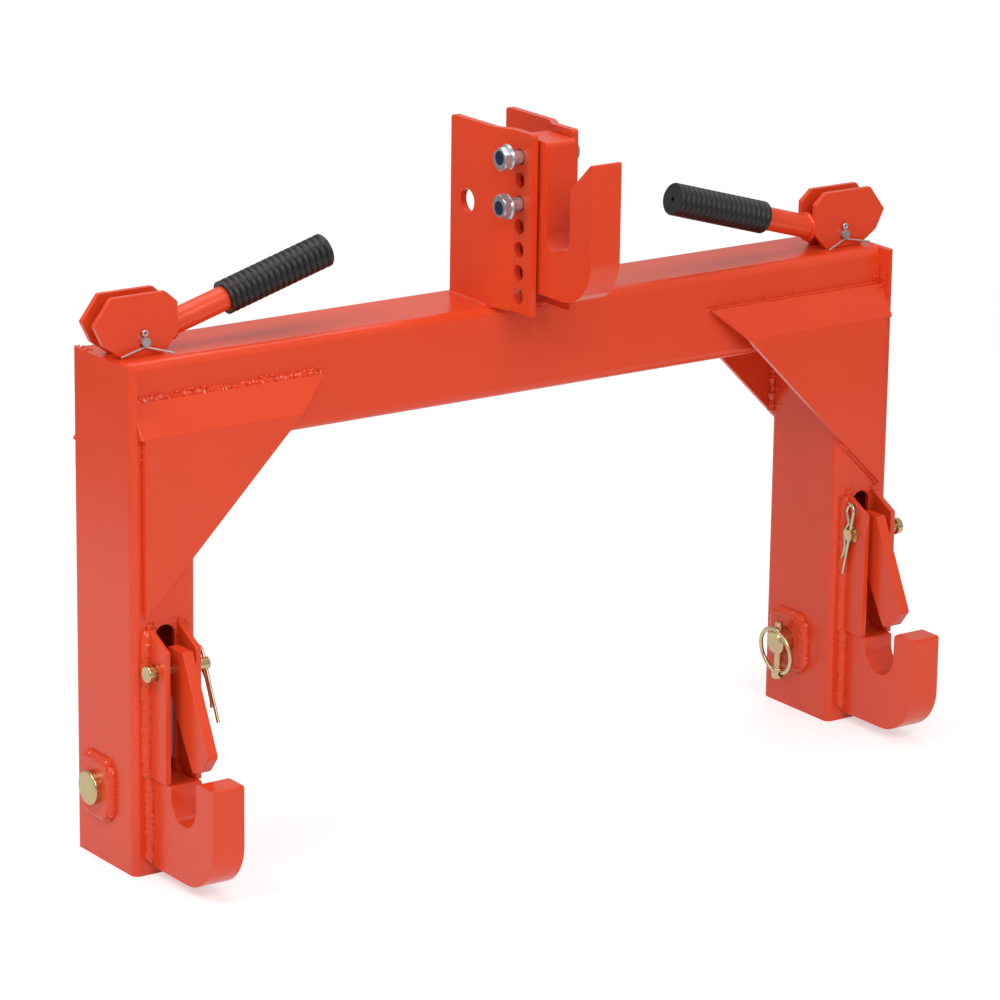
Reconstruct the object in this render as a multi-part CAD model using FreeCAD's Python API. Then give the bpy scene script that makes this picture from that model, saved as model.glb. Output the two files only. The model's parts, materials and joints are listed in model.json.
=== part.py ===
import FreeCAD, Part
import math
import os

# Three point quick hitch, category 1: an A-shaped coupler carried by a tractor's three links.
# Millimetres. +Z up, hooks toward -Y, tractor toward +Y, X across the tractor.
# The drawing plane y = 0 is the front face of the legs and z = 0 is the bottom of the legs.
# save() moves every piece by the same depth shift, so the origin is the middle of the footprint.

os.makedirs("parts", exist_ok=True)

# ---- overall layout ----
hook_spacing = 698.5          # centre to centre of the lower hooks
frame_height = 414.0          # top face of the cross beam
fit_gap = 0.05                # radial running clearance of a pin in its hole
loose_gap = 0.3               # clearance of a loose piece

# ---- legs and cross beam, rectangular tube ----
leg_width = 58.0
leg_depth = 90.0
leg_wall = 4.0
leg_corner = 6.0
beam_height = 76.2
beam_depth = 76.2             # the beam is flush with the back of the legs
beam_wall = 4.0
beam_corner = 8.0
cheek_width = 6.0             # outer strip of the leg that runs up past the beam's end
link_window_height = 120.0    # opening in the back of the leg for the tractor's lower link
slot_width = 18.0             # upright slot in the front of the leg for the latch arm
slot_bottom = 75.0
slot_top = 205.0

# ---- corner gussets: bent in front, flat behind ----
gusset_thickness = 6.0
left_gusset_inset = 9.2       # gusset's outer edge inside the leg's outer face
right_gusset_inset = 12.0
left_gusset_ear_gap = 8.3     # from the ears' top up to the front gusset's lowest point
right_gusset_ear_gap = 4.5
rear_gusset_inset = 11.0
rear_gusset_drop = 126.0      # lowest point below the beam
gusset_bend_rise = 19.2       # bend line above the beam's bottom face
gusset_top_rise = 43.2        # top edge above the beam's bottom face

# ---- mast plates ----
mast_thickness = 6.0
mast_height = 148.5
mast_front_y = -26.0
mast_back_y = 76.2
mast_back_half_gap = 24.1     # half the gap between the plates at the back
mast_front_half_gap = 16.6    # half the gap between the plates at the front
mast_step_start_y = 15.5      # the plates step inward between these two depths
mast_step_end_y = 0.5
mast_step_shift = 1.4         # inner face's bends lie this much further back
mast_corner = 3.0
mast_hole_radius = 6.5
mast_hole_count = 7
mast_hole_pitch = 19.0
mast_hole_y = -9.7
mast_top_hole_rise = 128.0    # heights above the cross beam are called rises
top_link_hole_radius = 9.8
top_link_hole_y = 52.5
top_link_hole_rise = 81.5

# ---- top hook ----
top_hook_thickness = 28.6
top_hook_back_y = 8.0
top_hook_bottom_rise = 18.0
top_hook_top_rise = 143.0
top_hook_reach = 96.3
top_throat_radius = 15.9
top_throat_y = -51.0
top_throat_rise = 70.0
top_horn_rise = 135.5
top_lead_in_rise = 111.0
top_hook_nose = 38.0
top_hook_corner = 4.0
top_lead_in_round = 6.0
top_horn_flat = 3.0
top_horn_corner = 1.0
hook_bolt_holes_apart = 2     # the hook's bolts are this many mast holes apart

# ---- top hook bolts, 7/16 inch ----
bolt_radius = 5.55
bolt_head_flats = 17.2
bolt_head_height = 7.5
bolt_head_standoff = 12.4     # bolt head stands this far off the mast plate
bolt_length = 66.0
nut_height = 7.5

# ---- lower hooks ----
hook_thickness = 28.6
hook_bottom_z = 8.0
hook_reach = 94.0
hook_nose = 40.0
hook_throat_radius = 18.25
hook_throat_y = -49.9
hook_throat_z = 73.6
hook_back_top_z = 82.5
hook_horn_z = 97.0
hook_horn_corner = 5.0
hook_back_corner = 2.0

# ---- ears that carry the latch ----
ear_thickness = 5.0
ear_half_span = 16.5          # middle of the leg to the outside of an ear
ear_depth = 27.5
ear_corner = 2.0
ear_front_z = 191.0
ear_back_z = 205.5

# ---- latch, a bell crank ----
latch_thickness = 9.5
latch_inner_offset = 7.0      # inner face of the latch to the middle of the leg
latch_side_gap = 0.5          # latch to the foot of the release rod
latch_pivot_y = -12.0
latch_pivot_z = 171.5
latch_rest_angle = -15.5      # slope of the inner arm with the latch shut
latch_arm_reach = 38.0        # level distance from the pivot to the link pin
latch_arm_half = 9.0
latch_arm_spare = 1.0         # metal past the link pin's eye
latch_heel_run = 2.0          # the arm's top edge meets the head this far behind the pivot
latch_heel_round = 3.0
latch_top_round = 2.0
link_slot_play = 0.2
latch_top_z = 190.0
latch_nose = [(-30.5, 190.0, 2.0), (-67.5, 113.4, 3.0), (-56.5, 99.2, 4.0), (-44.5, 95.0, 4.0)]
latch_elbow = (-7.4, 159.2, 5.0)
latch_top_back_y = -8.0

# ---- latch pin, washers and clip ----
latch_pin_radius = 5.0
latch_pin_head_radius = 7.0
latch_pin_head_height = 5.5
latch_pin_head_round = 1.2
latch_pin_length = 51.0       # under the head
right_pin_overhang = 6.2      # pin end past the inner ear
left_pin_overhang = 15.0
latch_washer_radius = 7.0
latch_washer_height = 1.5
clip_wire = 1.4               # wire radius
clip_hole_from_end = 2.2
clip_length = 57.0            # bow centre to the end of the straight leg
right_clip_bow = (7.3, 20.0)  # bow's radius, and its centre above the pin
left_clip_bow = (5.5, 9.0)
clip_upper_waist = 1.4        # below the bow's centre, in bow radii
clip_waist = 3.2              # bent leg to straight leg where they come closest
clip_waist_drop = 12.0        # from the pin down to where the bent leg comes in
clip_bend = 3.0
clip_flare = 5.0
clip_flare_start = 18.0       # above the straight leg's end
clip_tip = 13.0
right_clip_tilt = -12.0
left_clip_tilt = 24.0

# ---- lower link pins, 22 mm, with square pads ----
lift_y = 54.0
lift_z = 61.5
pad_depth = 40.0
pad_height = 43.0
pad_thickness = 5.5
pad_corner = 2.0
lift_pin_radius = 11.1
lift_pin_head_radius = 14.0
lift_pin_head_height = 6.0
lift_pin_head_round = 1.5
lift_pin_overhang = 13.5      # past the inner pad
lift_pin_chamfer = 2.5
lift_hole_gap = 0.15

# ---- lynch pins ----
lynch_from_end = 6.0
lynch_radius = 3.25
lynch_head_radius = 5.2
lynch_head_height = 10.0
lynch_head_round = 2.0
lynch_tip_chamfer = 1.2
lynch_head_z = 33.0
lynch_top_z = 80.0
ring_radius = 20.5            # centreline of the snap ring
ring_wire = 1.8
ring_tilt = 8.0
ring_hole_radius = 2.8

# ---- release lever ----
lever_y = 44.5
lever_pin_x = 347.0
lever_pin_rise = 11.5
cam_thickness = 5.0
cam_gap = 14.0
cam_corner = 2.0
cam_outline = [(19.0, -11.5), (35.8, 0.0), (44.2, 16.8), (28.5, 37.4), (-20.0, 37.4),
               (-31.0, 28.0), (-31.0, 2.9), (-18.5, -11.5)]
lever_pin_radius = 3.6
lever_pin_head_radius = 6.0
lever_pin_head_height = 3.0
lever_pin_overhang = 4.6
split_hole_from_end = 2.3     # along the lever pin
split_wire = 0.9
split_leg_share = 0.8         # each leg is this much of the doubled wire
split_bend_gap = 0.4          # the legs part this far below the lever pin
split_eye_gap = 1.2           # the eye starts this far above it
split_eye_radius = 1.9
split_eye_rise = 2.2
split_outer_end = (24.0, -4.0, -8.5)
split_inner_end = (-22.0, -6.0, -10.2)
handle_slope = 16.0
handle_start_rise = 19.0      # handle centreline where it leaves the cam plates
handle_radius = 10.0
handle_wall = 2.5
handle_length = 145.0
grip_length = 98.0
grip_rib_radius = 13.8
grip_root_radius = 12.4
grip_rib_count = 17
grip_crest_share = 0.45       # flat crest of a rib, as a share of the pitch
grip_root_share = 0.72        # deepest point of a groove, as a share of the pitch
grip_end_round = 1.0
grip_end_gap = 0.2            # tube end to the grip's closed end
grip_cap = 4.0
grip_vent_radius = 2.0

# ---- release rod ----
rod_radius = 6.0
rod_hole_gap = 0.5
rod_eye_radius = 11.0
rod_eye_side_gap = 0.8
rod_bottom_z = 149.0
rod_collar_radius = 12.0
rod_collar_height = 4.0
rod_collar_drop = 91.8        # top of the collar below the beam
foot_thickness = 6.0
foot_half_height = 12.0
foot_corner = 3.0
bridge_inset = 0.6            # block between rod and foot, inside the rod's width
bridge_end_inset = 1.0
link_pin_radius = 4.0
link_head_radius = 6.5
link_head_height = 2.0
spring_radius = 9.4           # centreline of the wire
spring_wire = 1.1
spring_turns = 8
spring_runs = 12              # straight runs in one turn
spring_sides = 6

# ---- derived sizes ----
side = hook_spacing / 2
leg_outer = side + leg_width / 2
leg_inner = side - leg_width / 2
beam_bottom = frame_height - beam_height
beam_back = leg_depth
beam_front = beam_back - beam_depth
beam_end = leg_outer - leg_wall
cheek_inner = leg_outer - cheek_width
depth_shift = (top_hook_reach - leg_depth - gusset_thickness) / 2
gusset_bend_z = beam_bottom + gusset_bend_rise
gusset_top_z = beam_bottom + gusset_top_rise
mast_top_hole_z = frame_height + mast_top_hole_rise
top_link_hole_z = frame_height + top_link_hole_rise
top_hook_bottom_z = frame_height + top_hook_bottom_rise
top_hook_top_z = frame_height + top_hook_top_rise
top_throat_z = frame_height + top_throat_rise
top_horn_z = frame_height + top_horn_rise
top_lead_in_z = frame_height + top_lead_in_rise
hook_bolt_heights = (mast_top_hole_z, mast_top_hole_z - hook_bolt_holes_apart * mast_hole_pitch)
lever_pin_z = frame_height + lever_pin_rise
handle_start_z = frame_height + handle_start_rise
rod_collar_top_z = beam_bottom - rod_collar_drop
latch_inner_x = side - latch_inner_offset
latch_outer_x = latch_inner_x + latch_thickness
arm_drop = latch_arm_reach * math.tan(math.radians(latch_rest_angle))
link_y = latch_pivot_y + latch_arm_reach
link_z = latch_pivot_z + arm_drop
foot_inner_x = latch_outer_x + latch_side_gap
foot_outer_x = foot_inner_x + foot_thickness
pad_inner_face = leg_inner - pad_thickness
pad_outer_face = leg_outer + pad_thickness
lift_pin_end = pad_inner_face - lift_pin_overhang
lynch_x = lift_pin_end + lynch_from_end
cam_front_y = lever_y - cam_gap / 2 - cam_thickness
cam_back_y = lever_y + cam_gap / 2
ear_face = side - ear_half_span


def vec(x, y, z):
    return FreeCAD.Vector(x, y, z)


def box(x0, x1, y0, y1, z0, z1):
    return Part.makeBox(x1 - x0, y1 - y0, z1 - z0, vec(x0, y0, z0))


def rod_x(x0, x1, y, z, radius):
    return Part.makeCylinder(radius, x1 - x0, vec(x0, y, z), vec(1, 0, 0))


def rod_y(x, y0, y1, z, radius):
    return Part.makeCylinder(radius, y1 - y0, vec(x, y0, z), vec(0, 1, 0))


def rod_z(x, y, z0, z1, radius):
    return Part.makeCylinder(radius, z1 - z0, vec(x, y, z0), vec(0, 0, 1))


def turn_x(shape, y, z, angle):
    shape.rotate(vec(0, y, z), vec(1, 0, 0), angle)
    return shape


def corner_points(before, corner, after, radius):
    # Start, middle and end of the rounding at one corner of an outline.
    a = vec(before[0] - corner[0], before[1] - corner[1], 0)
    b = vec(after[0] - corner[0], after[1] - corner[1], 0)
    a.normalize()
    b.normalize()
    half = a.getAngle(b) / 2
    cut = radius / math.tan(half)
    middle = a + b
    middle.normalize()
    base = vec(corner[0], corner[1], 0)
    tip = base + middle * (radius / math.sin(half) - radius)
    return base + a * cut, tip, base + b * cut


def outline(corners, place):
    # Flat face from corners (u, v) or (u, v, radius); place() sets a point in space.
    stops = []
    count = len(corners)
    for i in range(count):
        corner = corners[i]
        radius = corner[2] if len(corner) > 2 else 0
        if radius:
            stops.append(corner_points(corners[i - 1], corner, corners[(i + 1) % count], radius))
        else:
            point = vec(corner[0], corner[1], 0)
            stops.append((point, None, point))
    edges = []
    for i in range(count):
        start, tip, end = stops[i]
        if tip is not None:
            edges.append(Part.Arc(place(start), place(tip), place(end)).toShape())
        after = stops[(i + 1) % count][0]
        if end.distanceToPoint(after) > 1e-6:
            edges.append(Part.makeLine(place(end), place(after)))
    return Part.Face(Part.Wire(edges))


def plate_x(corners, x0, x1):
    # Plate across X from an outline in y and z.
    face = outline(corners, lambda p: vec(x0, p.x, p.y))
    return face.extrude(vec(x1 - x0, 0, 0))


def plate_y(corners, y0, y1):
    # Plate across Y from an outline in x and z.
    face = outline(corners, lambda p: vec(p.x, y0, p.y))
    return face.extrude(vec(0, y1 - y0, 0))


def plate_z(corners, z0, z1):
    # Plate across Z from an outline in x and y.
    face = outline(corners, lambda p: vec(p.x, p.y, z0))
    return face.extrude(vec(0, 0, z1 - z0))


def hexagon_x(x0, x1, y, z, flats):
    # Hexagonal prism along X with two flats facing along Y.
    radius = flats / math.sqrt(3)
    corners = []
    for i in range(6):
        angle = math.radians(30 + 60 * i)
        corners.append((y + radius * math.cos(angle), z + radius * math.sin(angle)))
    return plate_x(corners, x0, x1)


def rounded_box_corners(u0, u1, v0, v1, radius):
    return [(u0, v0, radius), (u1, v0, radius), (u1, v1, radius), (u0, v1, radius)]


def bent_wire(corners, radius):
    # Round wire along straight runs, each corner (point, bend radius) turned by an arc.
    edges = []
    place = corners[0][0]
    for i in range(1, len(corners) - 1):
        corner, bend = corners[i]
        back = corners[i - 1][0] - corner
        back.normalize()
        ahead = corners[i + 1][0] - corner
        ahead.normalize()
        half = back.getAngle(ahead) / 2
        inward = back + ahead
        inward.normalize()
        arc_start = corner + back * (bend / math.tan(half))
        arc_middle = corner + inward * (bend / math.sin(half) - bend)
        arc_end = corner + ahead * (bend / math.tan(half))
        edges.append(Part.makeLine(place, arc_start))
        edges.append(Part.Arc(arc_start, arc_middle, arc_end).toShape())
        place = arc_end
    edges.append(Part.makeLine(place, corners[-1][0]))
    start = corners[0][0]
    section = Part.Wire(Part.makeCircle(radius, start, corners[1][0] - start))
    return Part.Wire(edges).makePipeShell([section], True, False)


def leg():
    outer = rounded_box_corners(leg_inner, leg_outer, 0, leg_depth, leg_corner)
    hollow = rounded_box_corners(leg_inner + leg_wall, leg_outer - leg_wall, leg_wall,
                                 leg_depth - leg_wall, leg_corner - leg_wall)
    body = plate_z(outer, 0, frame_height)
    filler = plate_z(outer, beam_bottom, frame_height)
    tube = body.cut(plate_z(hollow, -1, frame_height + 1))
    notch = box(leg_inner - 1, cheek_inner, -1, leg_depth + 1, beam_bottom, frame_height + 1)
    tube = tube.cut(notch)
    tube = tube.cut(box(cheek_inner - 1, beam_end, beam_front, leg_depth + 1, beam_bottom, frame_height + 1))
    tube = tube.fuse(filler.common(box(cheek_inner, leg_outer, 0, beam_front, beam_bottom, frame_height)))
    # Below the gusset's bend the front strip is wider, so that it closes the leg behind the gusset's edge.
    strip_inner = leg_outer - max(left_gusset_inset, right_gusset_inset)
    tube = tube.fuse(box(strip_inner, cheek_inner + 1, 0, beam_front, beam_bottom, gusset_bend_z))
    slot = rounded_box_corners(side - slot_width / 2, side + slot_width / 2, slot_bottom, slot_top,
                               slot_width / 2 - 0.01)
    tube = tube.cut(plate_y(slot, -1, leg_wall + 1))
    window = box(leg_inner + leg_wall, leg_outer - leg_wall, leg_depth - leg_wall - 1, leg_depth + 1,
                 -1, link_window_height)
    tube = tube.cut(window)
    bore = rod_x(leg_inner - 1, leg_outer + 1, lift_y, lift_z, lift_pin_radius + lift_hole_gap)
    return tube.cut(bore).removeSplitter()


def beam():
    outer = rounded_box_corners(beam_front, beam_back, beam_bottom, frame_height, beam_corner)
    hollow = rounded_box_corners(beam_front + beam_wall, beam_back - beam_wall, beam_bottom + beam_wall,
                                 frame_height - beam_wall, beam_corner - beam_wall)
    tube = plate_x(outer, -beam_end, beam_end)
    tube = tube.cut(plate_x(hollow, -beam_end - 1, beam_end + 1))
    for x in (-lever_pin_x, lever_pin_x):
        tube = tube.cut(rod_z(x, lever_y, beam_bottom - 1, frame_height + 1, rod_radius + rod_hole_gap))
    return tube


def front_gusset(inset, ear_gap):
    # Triangular plate against the leg's front, its top strip bent back to the beam.
    low_z = ear_back_z + ear_gap
    lean = math.atan2(beam_front, gusset_top_z - gusset_bend_z)
    front_bend_z = gusset_bend_z + gusset_thickness * math.tan(lean / 2)
    tip_y = beam_front - gusset_thickness * math.cos(lean)
    tip_z = gusset_top_z + gusset_thickness * math.sin(lean)
    outer_x = leg_outer - inset
    bend_x = outer_x - (gusset_bend_z - low_z)
    tip_x = bend_x - (tip_z - gusset_bend_z) / math.cos(lean)
    profile = [(0, low_z), (0, gusset_bend_z), (beam_front, gusset_top_z), (tip_y, tip_z),
               (-gusset_thickness, front_bend_z), (-gusset_thickness, low_z)]
    strip = plate_x(profile, tip_x - 1, cheek_inner)
    face = [(outer_x, low_z), (outer_x, gusset_bend_z), (cheek_inner, gusset_bend_z),
            (cheek_inner, tip_z), (tip_x, tip_z), (bend_x, gusset_bend_z)]
    return strip.common(plate_y(face, -gusset_thickness - 1, beam_front + 1))


def rear_gusset():
    # Flat triangular plate across the backs of the leg and the beam.
    outer_x = leg_outer - rear_gusset_inset
    low_z = beam_bottom - rear_gusset_drop
    face = [(outer_x, low_z), (outer_x, gusset_top_z), (outer_x - (gusset_top_z - low_z), gusset_top_z)]
    return plate_y(face, leg_depth, leg_depth + gusset_thickness)


def mast_plate():
    inner_front = mast_front_half_gap
    inner_back = mast_back_half_gap
    shape = [(inner_front, mast_front_y), (inner_front + mast_thickness, mast_front_y),
             (inner_front + mast_thickness, mast_step_end_y),
             (inner_back + mast_thickness, mast_step_start_y),
             (inner_back + mast_thickness, mast_back_y), (inner_back, mast_back_y),
             (inner_back, mast_step_start_y + mast_step_shift),
             (inner_front, mast_step_end_y + mast_step_shift)]
    body = plate_z(shape, frame_height, frame_height + mast_height)
    top = frame_height + mast_height
    side_view = [(mast_front_y, frame_height), (mast_back_y, frame_height),
                 (mast_back_y, top, mast_corner), (mast_front_y, top, mast_corner)]
    body = body.common(plate_x(side_view, 0, inner_back + mast_thickness))
    for i in range(mast_hole_count):
        z = mast_top_hole_z - i * mast_hole_pitch
        body = body.cut(rod_x(0, inner_back + mast_thickness, mast_hole_y, z, mast_hole_radius))
    link = rod_x(0, inner_back + mast_thickness + 1, top_link_hole_y, top_link_hole_z,
                 top_link_hole_radius)
    return body.cut(link)


def top_hook():
    half = top_hook_thickness / 2
    back_wall = top_throat_y + top_throat_radius
    front_wall = top_throat_y - top_throat_radius
    shape = [(top_hook_back_y, top_hook_bottom_z), (top_hook_back_y, top_hook_top_z, top_hook_corner),
             (back_wall, top_hook_top_z, top_hook_corner),
             (back_wall, top_throat_z - top_throat_radius, top_throat_radius - 0.01),
             (front_wall, top_throat_z - top_throat_radius, top_throat_radius - 0.01),
             (front_wall, top_lead_in_z, top_lead_in_round),
             (-top_hook_reach + top_horn_flat, top_horn_z, top_horn_corner),
             (-top_hook_reach, top_horn_z, top_horn_corner),
             (-top_hook_reach, top_hook_bottom_z, top_hook_nose)]
    hook = plate_x(shape, -half, half)
    for z in hook_bolt_heights:
        hook = hook.cut(rod_x(-half - 1, half + 1, mast_hole_y, z, mast_hole_radius))
    return hook


def top_hook_bolts():
    start = -(mast_front_half_gap + mast_thickness + bolt_head_standoff)
    bolts = []
    for z in hook_bolt_heights:
        head = hexagon_x(start - bolt_head_height, start, mast_hole_y, z, bolt_head_flats)
        rim = Part.makeCone(bolt_head_flats / 2, bolt_head_flats / 2 + bolt_head_height, bolt_head_height,
                            vec(start - bolt_head_height, mast_hole_y, z), vec(1, 0, 0))
        shank = rod_x(start, start + bolt_length, mast_hole_y, z, bolt_radius)
        bolts.append(head.common(rim).fuse(shank))
    return Part.makeCompound(bolts)


def top_hook_nuts():
    start = mast_front_half_gap + mast_thickness
    nuts = []
    for z in hook_bolt_heights:
        nut = hexagon_x(start, start + nut_height, mast_hole_y, z, bolt_head_flats)
        rim = Part.makeCone(bolt_head_flats / 2 + nut_height, bolt_head_flats / 2, nut_height,
                            vec(start, mast_hole_y, z), vec(1, 0, 0))
        hole = rod_x(start - 1, start + nut_height + 1, mast_hole_y, z, bolt_radius + fit_gap)
        nuts.append(nut.common(rim).cut(hole))
    return Part.makeCompound(nuts)


def lower_hook():
    half = hook_thickness / 2
    back_wall = hook_throat_y + hook_throat_radius
    front_wall = hook_throat_y - hook_throat_radius
    shape = [(0, hook_bottom_z), (0, hook_back_top_z), (back_wall, hook_back_top_z, hook_back_corner),
             (back_wall, hook_throat_z - hook_throat_radius, hook_throat_radius - 0.01),
             (front_wall, hook_throat_z - hook_throat_radius, hook_throat_radius - 0.01),
             (front_wall, hook_horn_z, hook_horn_corner), (-hook_reach, hook_horn_z, hook_horn_corner / 2),
             (-hook_reach, hook_bottom_z, hook_nose)]
    return plate_x(shape, side - half, side + half)


def ear(x0):
    shape = [(0, hook_back_top_z), (0, ear_back_z), (-ear_depth, ear_front_z, ear_corner),
             (-ear_depth, hook_back_top_z)]
    plate = plate_x(shape, x0, x0 + ear_thickness)
    return plate.cut(rod_x(x0 - 1, x0 + ear_thickness + 1, latch_pivot_y, latch_pivot_z,
                           latch_pin_radius + fit_gap))


def outer_ear():
    return ear(side + ear_half_span - ear_thickness)


def inner_ear():
    return ear(ear_face)


def latch():
    # Bell crank: nose over the hook's mouth, arm through the leg's slot to the release rod.
    angle = math.radians(latch_rest_angle)
    along = (math.cos(angle), math.sin(angle))
    up = (-math.sin(angle), math.cos(angle))
    reach = latch_arm_reach / math.cos(angle)
    tip = reach + latch_arm_half + latch_arm_spare
    heel_y = latch_pivot_y + latch_arm_half * up[0]
    heel_z = latch_pivot_z + latch_arm_half * up[1]
    tip_top = (latch_pivot_y + tip * along[0] + latch_arm_half * up[0],
               latch_pivot_z + tip * along[1] + latch_arm_half * up[1], latch_arm_half - 0.01)
    tip_low = (latch_pivot_y + tip * along[0] - latch_arm_half * up[0],
               latch_pivot_z + tip * along[1] - latch_arm_half * up[1], latch_arm_half - 0.01)
    shape = list(latch_nose)
    shape.append(latch_elbow)
    shape.append(tip_low)
    shape.append(tip_top)
    shape.append((heel_y + latch_heel_run, heel_z + latch_heel_run * math.tan(angle), latch_heel_round))
    shape.append((latch_top_back_y, latch_top_z, latch_top_round))
    plate = plate_x(shape, latch_inner_x, latch_outer_x)
    plate = plate.cut(rod_x(latch_inner_x - 1, latch_outer_x + 1, latch_pivot_y, latch_pivot_z,
                            latch_pin_radius + fit_gap))
    radius = link_pin_radius + loose_gap
    slot = None
    for distance in (latch_arm_reach - link_slot_play, reach + link_slot_play):
        hole = rod_x(latch_inner_x - 1, latch_outer_x + 1, latch_pivot_y + distance * along[0],
                     latch_pivot_z + distance * along[1], radius)
        slot = hole if slot is None else slot.fuse(hole)
    middle = box(latch_inner_x - 1, latch_outer_x + 1, latch_pivot_y + latch_arm_reach - link_slot_play,
                 latch_pivot_y + reach + link_slot_play, latch_pivot_z - radius, latch_pivot_z + radius)
    slot = slot.fuse(turn_x(middle, latch_pivot_y, latch_pivot_z, latch_rest_angle))
    return plate.cut(slot)


def latch_pin(overhang, tilt):
    start = ear_face - overhang
    head = start + latch_pin_length
    pin = rod_x(start, head, latch_pivot_y, latch_pivot_z, latch_pin_radius)
    cap = rod_x(head, head + latch_pin_head_height, latch_pivot_y, latch_pivot_z, latch_pin_head_radius)
    rim = [e for e in cap.Edges if e.BoundBox.XMin > head + latch_pin_head_height - 0.1]
    pin = pin.fuse(cap.makeFillet(latch_pin_head_round, rim))
    hole = rod_z(start + clip_hole_from_end, latch_pivot_y, latch_pivot_z - 2 * latch_pin_radius,
                 latch_pivot_z + 2 * latch_pin_radius, clip_wire + loose_gap)
    return pin.cut(turn_x(hole, latch_pivot_y, latch_pivot_z, -tilt))


def latch_washers():
    rings = []
    for x0 in (side + ear_half_span, ear_face - latch_washer_height):
        ring = rod_x(x0, x0 + latch_washer_height, latch_pivot_y, latch_pivot_z, latch_washer_radius)
        hole = rod_x(x0 - 1, x0 + latch_washer_height + 1, latch_pivot_y, latch_pivot_z,
                     latch_pin_radius + fit_gap)
        rings.append(ring.cut(hole))
    return Part.makeCompound(rings)


def tangent_corner(above, below, radius):
    # Where two lines meet that touch the right side of a circle about the origin.
    upper = math.atan2(above[1], above[0]) - math.acos(radius / math.hypot(*above))
    lower = math.atan2(below[1], below[0]) + math.acos(radius / math.hypot(*below))
    reach = radius / math.cos((upper - lower) / 2)
    middle = (upper + lower) / 2
    return (reach * math.cos(middle), reach * math.sin(middle))


def spring_clip(overhang, tilt, bow_sizes):
    # R-shaped clip: a straight leg through the pin, a round bow and a leg that hugs the pin.
    hug = latch_pin_radius + clip_wire + loose_gap
    bow, bow_height = bow_sizes
    end = clip_length - bow_height
    top = bow_height + bow
    waist = (clip_waist, -clip_waist_drop)
    path = [((0, -end), 0), ((0, top), bow), ((2 * bow, top), bow)]
    above = (2 * bow, top)
    if bow_height > 2 * bow:
        above = (clip_waist, bow_height - clip_upper_waist * bow)
        path.append((above, clip_bend))
    path.append((tangent_corner(above, waist, hug), hug))
    path.append((waist, clip_bend))
    path.append(((clip_waist, clip_flare_start - end), clip_bend))
    path.append(((clip_flare, clip_tip - end), 0))
    x = ear_face - overhang + clip_hole_from_end
    corners = [(vec(x, latch_pivot_y + u, latch_pivot_z + v), bend) for (u, v), bend in path]
    return turn_x(bent_wire(corners, clip_wire), latch_pivot_y, latch_pivot_z, -tilt)


def pad(x0):
    shape = rounded_box_corners(lift_y - pad_depth / 2, lift_y + pad_depth / 2,
                                lift_z - pad_height / 2, lift_z + pad_height / 2, pad_corner)
    plate = plate_x(shape, x0, x0 + pad_thickness)
    return plate.cut(rod_x(x0 - 1, x0 + pad_thickness + 1, lift_y, lift_z,
                           lift_pin_radius + lift_hole_gap))


def outer_pad():
    return pad(leg_outer)


def inner_pad():
    return pad(pad_inner_face)


def lift_pin():
    shank = rod_x(lift_pin_end, pad_outer_face, lift_y, lift_z, lift_pin_radius)
    end = [e for e in shank.Edges if e.BoundBox.XMax < lift_pin_end + 0.1]
    shank = shank.makeChamfer(lift_pin_chamfer, end)
    head = rod_x(pad_outer_face, pad_outer_face + lift_pin_head_height, lift_y, lift_z,
                 lift_pin_head_radius)
    rim = [e for e in head.Edges if e.BoundBox.XMin > pad_outer_face + lift_pin_head_height - 0.1]
    head = head.makeFillet(lift_pin_head_round, rim)
    hole = rod_z(lynch_x, lift_y, lift_z - 2 * lift_pin_radius, lift_z + 2 * lift_pin_radius,
                 lynch_radius + loose_gap)
    return shank.fuse(head).cut(hole)


def lynch_pin():
    shaft = rod_z(lynch_x, lift_y, lynch_head_z, lynch_top_z, lynch_radius)
    tip = [e for e in shaft.Edges if e.BoundBox.ZMin > lynch_top_z - 0.1]
    shaft = shaft.makeChamfer(lynch_tip_chamfer, tip)
    half = lynch_head_height / 2
    head = rod_z(lynch_x, lift_y, lynch_head_z - half, lynch_head_z + half, lynch_head_radius)
    rims = [e for e in head.Edges if e.BoundBox.ZLength < 0.1]
    head = head.makeFillet(lynch_head_round, rims)
    hole = rod_y(lynch_x, lift_y - lynch_head_radius - 1, lift_y + lynch_head_radius + 1, lynch_head_z,
                 ring_hole_radius)
    return shaft.fuse(head).cut(hole)


def lynch_ring():
    tilt = math.radians(ring_tilt)
    centre = vec(lynch_x - ring_radius * math.sin(tilt), lift_y, lynch_head_z + ring_radius * math.cos(tilt))
    return Part.makeTorus(ring_radius, ring_wire, centre, vec(math.cos(tilt), 0, math.sin(tilt)))


def cam_plate(y0):
    corners = []
    for x, z in cam_outline:
        corners.append((lever_pin_x + x, lever_pin_z + z, cam_corner))
    plate = plate_y(corners, y0, y0 + cam_thickness)
    return plate.cut(rod_y(lever_pin_x, y0 - 1, y0 + cam_thickness + 1, lever_pin_z,
                           lever_pin_radius + fit_gap))


def front_cam_plate():
    return cam_plate(cam_front_y)


def back_cam_plate():
    return cam_plate(cam_back_y)


def cam_inner_edge():
    return lever_pin_x + min(x for x, z in cam_outline)


def handle_axis():
    slope = math.radians(handle_slope)
    return vec(cam_inner_edge(), lever_y, handle_start_z), vec(-math.cos(slope), 0, math.sin(slope))


def handle_bar():
    # Tube cut off upright where it meets the edges of the cam plates.
    start, along = handle_axis()
    spare = 2 * handle_radius
    back = start - along * spare
    tube = Part.makeCylinder(handle_radius, handle_length + spare, back, along)
    tube = tube.cut(Part.makeCylinder(handle_radius - handle_wall, handle_length + spare + 2, back - along,
                                      along))
    edge = cam_inner_edge()
    return tube.cut(box(edge, edge + 2 * spare, 0, leg_depth, handle_start_z - 2 * spare,
                        handle_start_z + 2 * spare))


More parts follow.
